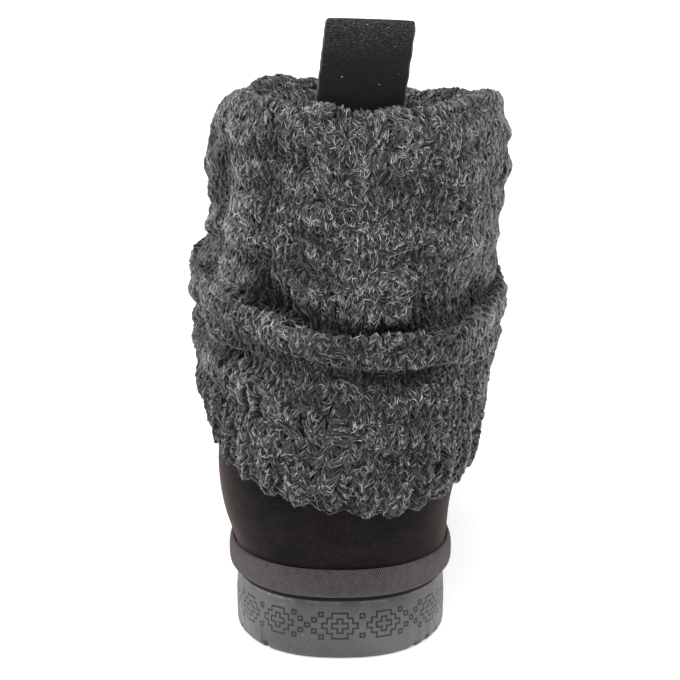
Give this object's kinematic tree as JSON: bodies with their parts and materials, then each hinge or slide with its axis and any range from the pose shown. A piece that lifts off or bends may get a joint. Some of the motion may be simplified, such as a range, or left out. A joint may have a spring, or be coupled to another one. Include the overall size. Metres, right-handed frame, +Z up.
{
  "type": "sweater boot",
  "caption": "Ankle boot with a suede upper on a rubber sole, a slouched knitted sleeve round the shaft and a pull loop at the back.",
  "frame": {"origin": "on the floor, under the middle of the boot's bounding box", "axes": "+Y towards the toe, +X towards the inner side of the foot, +Z up"},
  "size_m": [0.1112, 0.2718, 0.204],
  "materials": {
    "outsole": "satin dark grey moulded rubber",
    "insole": "short dark grey pile",
    "upper": "black suede with a short nap",
    "welt_tape": "dark grey twill tape",
    "knit_sleeve": "charcoal and light grey marled wool knit",
    "pull_loop": "black pebbled strap, matt"
  },
  "bodies": {
    "root": {"outsole": "outsole", "insole": "insole", "upper": "upper", "welt_tape": "welt_tape", "knit_sleeve": "knit_sleeve", "pull_loop": "pull_loop"}
  },
  "joints": []
}
